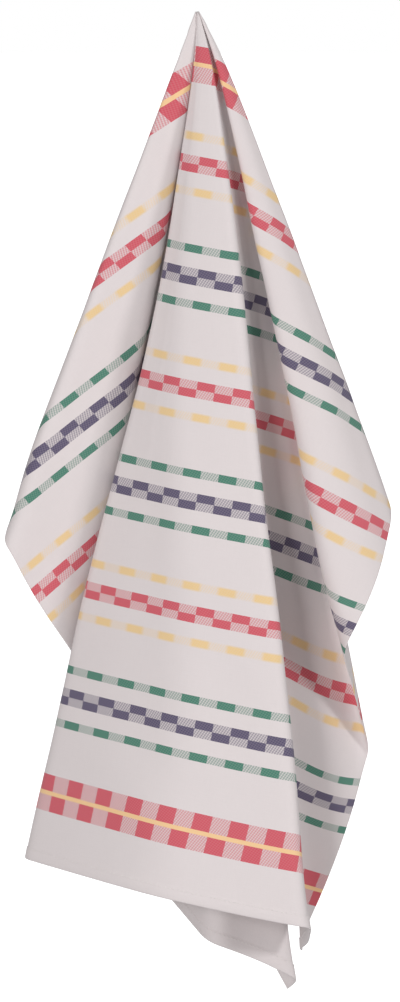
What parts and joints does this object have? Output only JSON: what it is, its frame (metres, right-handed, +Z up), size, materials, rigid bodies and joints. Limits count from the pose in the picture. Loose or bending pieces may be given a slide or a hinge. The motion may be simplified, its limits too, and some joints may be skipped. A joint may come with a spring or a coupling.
{
  "type": "tea towel",
  "caption": "Woven cotton tea towel with checked stripes, hung from one point of its top edge so that it falls in folds.",
  "frame": {"origin": "the hanging point, at the gathered tip of the cloth", "axes": "+Z up, -Y towards the front of the folds, +X to the right seen from the front"},
  "size_m": [0.2828, 0.1617, 0.7314],
  "materials": {
    "woven_cotton": "matt woven cotton with coloured checked stripes"
  },
  "bodies": {
    "root": {"tea_towel": "woven_cotton"}
  },
  "joints": []
}
